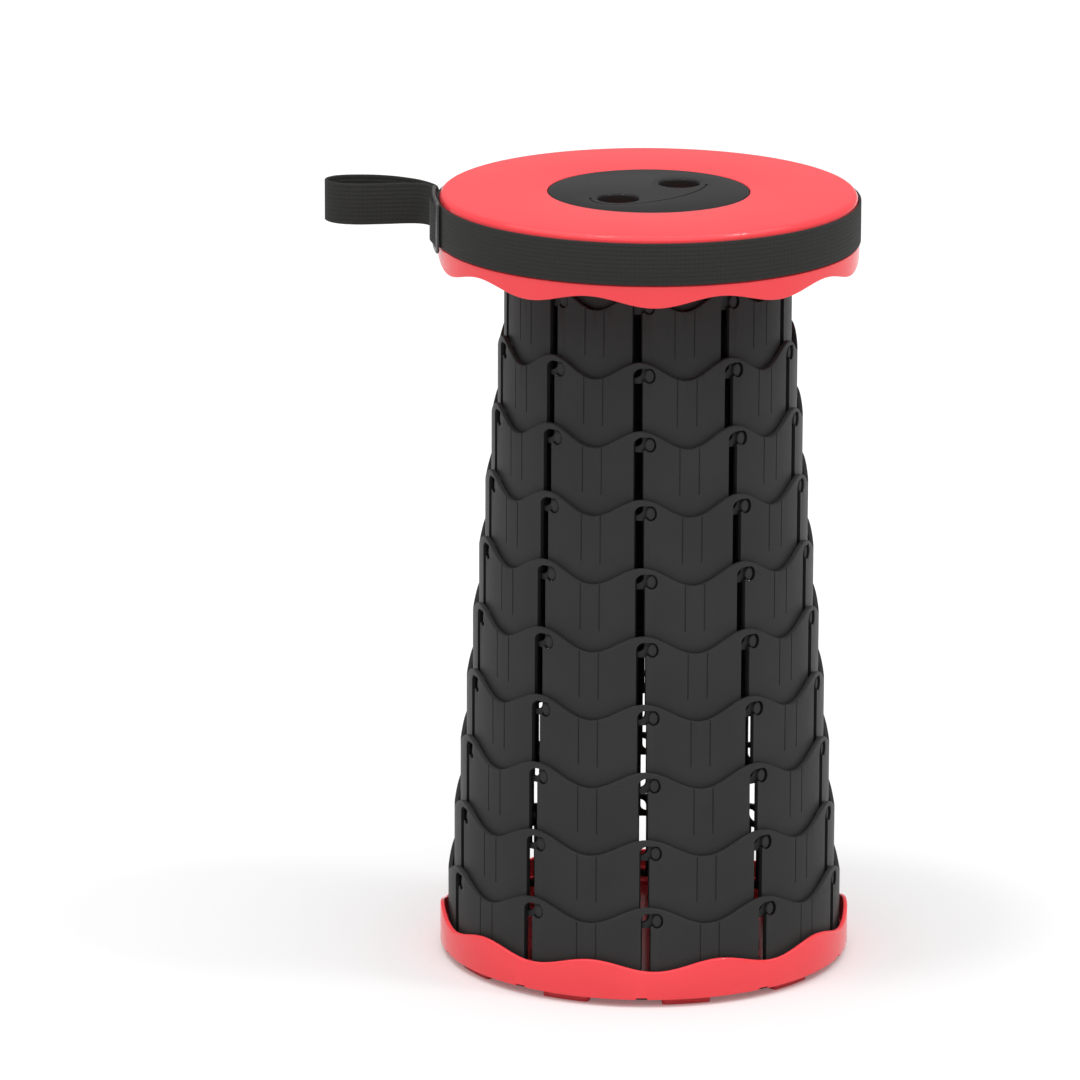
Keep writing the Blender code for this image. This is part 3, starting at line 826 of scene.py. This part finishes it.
def webbing_strip(route, name):
    """Webbing on edge along a route, with its lengths in a UV map. Returns its mesh and its length."""
    section = strap_section()
    bm = bmesh.new()
    uv = bm.loops.layers.uv.new("strap")
    rows = []
    along = 0.0
    for index, point in enumerate(route):
        before = route[max(index - 1, 0)]
        after = route[min(index + 1, len(route) - 1)]
        heading = (after - before).normalized()
        side = Vector((heading.y, -heading.x, 0))
        if index:
            along += (point - route[index - 1]).length
        ring = [bm.verts.new(point + side * out + Vector((0, 0, up))) for out, up in section]
        rows.append((along, ring))
    for (near, here), (far, there) in zip(rows, rows[1:]):
        for index in range(len(section)):
            after = (index + 1) % len(section)
            face = bm.faces.new((here[index], there[index], there[after], here[after]))
            for loop, place in zip(face.loops, (near, far, far, near)):
                loop[uv].uv = (place, loop.vert.co.z - STRAP_BOTTOM)
    bm.faces.new(rows[0][1])
    bm.faces.new(rows[-1][1])
    return mesh_from(bm, name), along


def strap_loop(material):
    """The carry loop behind the buckle."""
    pivot = Vector(polar(LOOP_RADIUS, LOOP_TURN, STRAP_MIDDLE))
    end = (STRAP_THICKNESS + LOOP_PARTING) / 2
    steps = [(end, 0.0)] + LOOP_ROUTE + [(-end, 0.0)]
    route = smooth_route([pivot + Vector((-out, back, 0)) for out, back in steps], LOOP_STEPS)
    mesh, length = webbing_strip(route, "loop")
    piece = add_piece("strap_carry_loop", mesh, "carry_loop", "strap_loop", "webbing", material)


def strap_tuck(material):
    """The strap's end, which comes up through one of the buckle's windows and goes down the other."""
    low = STRAP_OUTER + (STRAP_THICKNESS + FIT_GAP) / 2
    high = STRAP_OUTER + SLIDE_GAP + BUCKLE_THICKNESS + (STRAP_THICKNESS + FIT_GAP) / 2
    reach = BUCKLE_SWEEP / 2 - 1.2 * BUCKLE_BAR / STRAP_OUTER
    route = []
    for step in range(-TUCK_STEPS, TUCK_STEPS + 1):
        rise = 0.5 + 0.5 * math.cos(math.pi * step / TUCK_STEPS)
        angle = BUCKLE_TURN + reach * step / TUCK_STEPS
        route.append(Vector(polar(low + (high - low) * rise, angle, STRAP_MIDDLE)))
    mesh, length = webbing_strip(route, "tuck")
    piece = add_piece("strap_tuck", mesh, "seat", None, "webbing", material)


def bow(bm, middle, radius, turn):
    """Bows a flat mesh about an upright line: X along the bow, Y up, Z outwards from its middle."""
    heart = Vector(polar(middle - radius, turn, 0))
    for vert in bm.verts:
        x, y, z = vert.co
        vert.co = heart + Vector(polar(radius + z, turn + x / radius, y))


def strap_buckle(material):
    """A slide buckle with two windows, bowed a little less than the strap under it."""
    inner = STRAP_OUTER + SLIDE_GAP
    outer = inner + BUCKLE_THICKNESS
    length = BUCKLE_SWEEP * outer
    high = STRAP_MIDDLE + BUCKLE_HEIGHT / 2
    low = STRAP_MIDDLE - BUCKLE_HEIGHT / 2
    frame_corners = [
        (-length / 2, low, BUCKLE_ROUND),
        (length / 2, low, BUCKLE_ROUND),
        (length / 2, high, BUCKLE_ROUND),
        (-length / 2, high, BUCKLE_ROUND),
    ]
    outlines = [rounded(frame_corners, 6)]
    width = (length - 3 * BUCKLE_BAR) / 2
    for side in (-1, 1):
        centre = side * (width + BUCKLE_BAR) / 2
        window = [
            (centre - width / 2, low + BUCKLE_BAR, WINDOW_ROUND),
            (centre + width / 2, low + BUCKLE_BAR, WINDOW_ROUND),
            (centre + width / 2, high - BUCKLE_BAR, WINDOW_ROUND),
            (centre - width / 2, high - BUCKLE_BAR, WINDOW_ROUND),
        ]
        outlines.append(list(reversed(rounded(window))))
    bm = bmesh.new()
    flat = [[point[:2] for point in outline] for outline in outlines]
    bm.from_mesh(panel(flat, BUCKLE_THICKNESS, BUCKLE_EDGE))
    bend_columns(bm, -length / 2, length / 2, LEAF_STEP * outer)
    bow(bm, inner + BUCKLE_THICKNESS / 2, BUCKLE_BOW, BUCKLE_TURN)
    add_piece("strap_slide", mesh_from(bm, "buckle"), "seat", "strap_buckle", "buckle", material)


# Materials
class Nodes:
    """Short names for building a material's node tree."""

    def __init__(self, name):
        self.material = bpy.data.materials.new(name)
        self.material.use_nodes = True
        self.tree = self.material.node_tree
        self.shader = self.tree.nodes["Principled BSDF"]

    def add(self, kind, **settings):
        node = self.tree.nodes.new(kind)
        for key, value in settings.items():
            setattr(node, key, value)
        return node

    def link(self, source, target):
        self.tree.links.new(source, target)

    def math(self, operation, *values):
        node = self.add("ShaderNodeMath", operation=operation)
        for index, value in enumerate(values):
            if isinstance(value, (int, float)):
                node.inputs[index].default_value = value
            else:
                self.link(value, node.inputs[index])
        return node.outputs[0]

    def noise(self, scale, detail):
        node = self.add("ShaderNodeTexNoise")
        node.inputs["Scale"].default_value = scale
        node.inputs["Detail"].default_value = detail
        self.link(self.add("ShaderNodeTexCoord").outputs["Object"], node.inputs["Vector"])
        return node.outputs["Fac"]

    def ramp(self, value, stops):
        node = self.add("ShaderNodeValToRGB")
        elements = node.color_ramp.elements
        while len(elements) < len(stops):
            elements.new(0.5)
        for element, (position, colour) in zip(elements, stops):
            element.position = position
            element.color = (*colour, 1.0)
        self.link(value, node.inputs["Fac"])
        return node.outputs["Color"]

    def span(self, value, low, high):
        node = self.add("ShaderNodeMapRange")
        node.inputs["To Min"].default_value = low
        node.inputs["To Max"].default_value = high
        self.link(value, node.inputs["Value"])
        return node.outputs["Result"]

    def bump(self, height, strength, distance, after=None):
        node = self.add("ShaderNodeBump")
        node.inputs["Strength"].default_value = strength
        node.inputs["Distance"].default_value = distance
        self.link(height, node.inputs["Height"])
        if after is not None:
            self.link(after, node.inputs["Normal"])
        return node.outputs["Normal"]

    def set(self, socket, value):
        self.shader.inputs[socket].default_value = value

    def feed(self, socket, source):
        self.link(source, self.shader.inputs[socket])


def moulded_plastic(name, dark, light, roughness, grain, specular, polish=0.0):
    """Moulded plastic: faint clouds of colour, uneven gloss, a fine grain and perhaps a polished skin."""
    nodes = Nodes(name)
    clouds = nodes.noise(28, 4)
    nodes.feed("Base Color", nodes.ramp(clouds, [(0.35, dark), (0.65, light)]))
    nodes.feed("Roughness", nodes.span(nodes.noise(160, 3), *roughness))
    fine = nodes.bump(nodes.noise(2600, 2), grain, 0.0001)
    nodes.feed("Normal", nodes.bump(nodes.noise(90, 2), 0.02, 0.0005, fine))
    nodes.set("Specular IOR Level", specular)
    nodes.set("Coat Weight", polish)
    nodes.set("Coat Roughness", 0.1)
    return nodes.material


def webbing():
    """Black webbing: rows of yarn along the strap, tied down at even steps, with loose fibres."""
    nodes = Nodes("black_webbing")
    coords = nodes.add("ShaderNodeSeparateXYZ")
    nodes.link(nodes.add("ShaderNodeUVMap", uv_map="strap").outputs["UV"], coords.inputs[0])
    row = nodes.math("DIVIDE", coords.outputs["Y"], ROW_PITCH)
    stitch = nodes.math("DIVIDE", coords.outputs["X"], STITCH_PITCH)

    def swell(value):
        """1 in the middle of each step and 0 at its ends."""
        centred = nodes.math("SUBTRACT", nodes.math("FRACT", value), 0.5)
        squared = nodes.math("MULTIPLY", centred, centred)
        return nodes.math("SUBTRACT", 1.0, nodes.math("MULTIPLY", squared, 4.0))

    across = nodes.math("SUBTRACT", 1.0, swell(row))
    along = nodes.math("SUBTRACT", 1.0, swell(stitch))
    tied = nodes.math("ADD", nodes.math("MULTIPLY", along, 0.6), 0.4)
    yarn = nodes.math("SUBTRACT", 1.0, nodes.math("MULTIPLY", across, tied))
    fibre = nodes.noise(4200, 3)
    mixed = nodes.math("ADD", nodes.math("MULTIPLY", yarn, 0.8), nodes.math("MULTIPLY", fibre, 0.35))
    tones = [
        (0.2, (0.021, 0.0207, 0.020)),
        (0.6, (0.031, 0.0305, 0.0293)),
        (0.95, (0.034, 0.0335, 0.0322)),
    ]
    nodes.feed("Base Color", nodes.ramp(mixed, tones))
    nodes.feed("Roughness", nodes.span(fibre, 0.75, 0.95))
    fuzz = nodes.bump(fibre, 0.25, 0.0002)
    nodes.feed("Normal", nodes.bump(yarn, 0.9, 0.0004, fuzz))
    nodes.set("Sheen Weight", 0.05)
    nodes.set("Sheen Roughness", 0.5)
    nodes.set("Specular IOR Level", 0.1)
    return nodes.material


# Stage, light and camera
def seen_ray(tree):
    """1 for rays that show a surface to the camera, straight or by a reflection, and 0 for its light."""
    path = tree.nodes.new("ShaderNodeLightPath")
    total = path.outputs["Is Camera Ray"]
    for kind in ("Is Glossy Ray", "Is Transmission Ray"):
        either = tree.nodes.new("ShaderNodeMath")
        either.operation = "MAXIMUM"
        tree.links.new(total, either.inputs[0])
        tree.links.new(path.outputs[kind], either.inputs[1])
        total = either.outputs[0]
    return total


def studio_floor():
    """A pale matt floor, lifted a little towards white where it is seen."""
    mesh = bpy.data.meshes.new("floor")
    bm = bmesh.new()
    bmesh.ops.create_grid(bm, x_segments=8, y_segments=8, size=FLOOR_SIZE)
    bm.to_mesh(mesh)
    bm.free()
    material = bpy.data.materials.new("pale_floor")
    material.use_nodes = True
    tree = material.node_tree
    shader = tree.nodes["Principled BSDF"]
    shader.inputs["Base Color"].default_value = (FLOOR_TONE, FLOOR_TONE, FLOOR_TONE, 1.0)
    shader.inputs["Roughness"].default_value = 0.9
    shader.inputs["Specular IOR Level"].default_value = 0.0
    shader.inputs["Emission Color"].default_value = (1.0, 1.0, 1.0, 1.0)
    lift = tree.nodes.new("ShaderNodeMath")
    lift.operation = "MULTIPLY"
    lift.inputs[1].default_value = FLOOR_LIFT
    tree.links.new(seen_ray(tree), lift.inputs[0])
    tree.links.new(lift.outputs[0], shader.inputs["Emission Strength"])
    mesh.materials.append(material)
    floor = bpy.data.objects.new("floor", mesh)
    bpy.context.scene.collection.objects.link(floor)


def studio_lamp(name, towards, power, spread):
    """A soft lamp far off, which shines along a direction."""
    light = bpy.data.lights.new(name, "SUN")
    light.energy = power
    light.angle = spread
    lamp = bpy.data.objects.new(name, light)
    lamp.rotation_euler = Vector(towards).to_track_quat("-Z", "Y").to_euler()
    bpy.context.scene.collection.objects.link(lamp)


def studio_light():
    """A plain pale sky, a very broad lamp overhead and two small ones, which draw lines on rounded edges."""
    scene = bpy.context.scene
    scene.view_settings.view_transform = "Standard"
    world = bpy.data.worlds.new("studio")
    world.use_nodes = True
    sky = world.node_tree.nodes["Background"]
    sky.inputs["Color"].default_value = (1.0, 1.0, 1.0, 1.0)
    sky.inputs["Strength"].default_value = SKY_LEVEL
    scene.world = world
    studio_lamp("top_key", TOP_WAY, TOP_KEY, TOP_SPREAD)
    studio_lamp("left_key", LEFT_WAY, SIDE_KEY, SIDE_SPREAD)
    studio_lamp("right_key", RIGHT_WAY, SIDE_KEY, SIDE_SPREAD)


def photo_camera():
    """The camera, fitted to the photograph."""
    data = bpy.data.cameras.new("camera")
    data.sensor_width = SENSOR
    data.lens = LENS
    data.clip_end = 60.0
    camera = bpy.data.objects.new("camera", data)
    pan = Matrix.Rotation(CAMERA_PAN, 4, "Z")
    tilt = Matrix.Rotation(math.pi / 2 - CAMERA_DIP, 4, "X")
    spin = Matrix.Rotation(CAMERA_SPIN, 4, "Z")
    camera.matrix_world = Matrix.Translation(CAMERA_PLACE) @ pan @ tilt @ spin
    bpy.context.scene.collection.objects.link(camera)
    bpy.context.scene.camera = camera


photo_camera()
studio_floor()
studio_light()

red = moulded_plastic(
    "red_plastic", dark=(0.95, 0.065, 0.077), light=(0.97, 0.069, 0.081),
    roughness=(0.22, 0.27), grain=0.05, specular=0.03, polish=0.5
)
black = moulded_plastic(
    "black_plastic", dark=(0.0375, 0.0375, 0.0375), light=(0.041, 0.041, 0.041),
    roughness=(0.42, 0.52), grain=0.12, specular=0.06
)
disc_black = moulded_plastic(
    "disc_plastic", dark=(0.021, 0.021, 0.021), light=(0.022, 0.022, 0.022),
    roughness=(0.3, 0.35), grain=0.08, specular=0.03, polish=0.16
)
# A darker black for the slot walls and the backs of the base's notches: painted shade where little light gets
# in
painted_shade_black = moulded_plastic(
    "black_painted_shade", dark=(0.012, 0.012, 0.012), light=(0.014, 0.014, 0.014),
    roughness=(0.6, 0.7), grain=0.2, specular=0.05
)
grey = moulded_plastic(
    "buckle_plastic", dark=(0.050, 0.050, 0.052), light=(0.062, 0.062, 0.064),
    roughness=(0.3, 0.42), grain=0.08, specular=0.5
)
rubber = moulded_plastic(
    "red_rubber", dark=(0.60, 0.06, 0.07), light=(0.66, 0.07, 0.08),
    roughness=(0.6, 0.75), grain=0.2, specular=0.3
)
strap = webbing()

base_tray(red, painted_shade_black)
for pad in range(LEAVES):
    foot_pad(pad, rubber)
leaf_ring(1, "seat", black, painted_shade_black)
for ring in range(2, RINGS):
    leaf_ring(ring, f"ring_{ring:02d}", black, painted_shade_black)
leaf_ring(RINGS, "base", black, painted_shade_black)
seat_lid(red)
seat_disc(disc_black)
strap_band(strap)
strap_buckle(grey)
strap_tuck(strap)
strap_loop(strap)
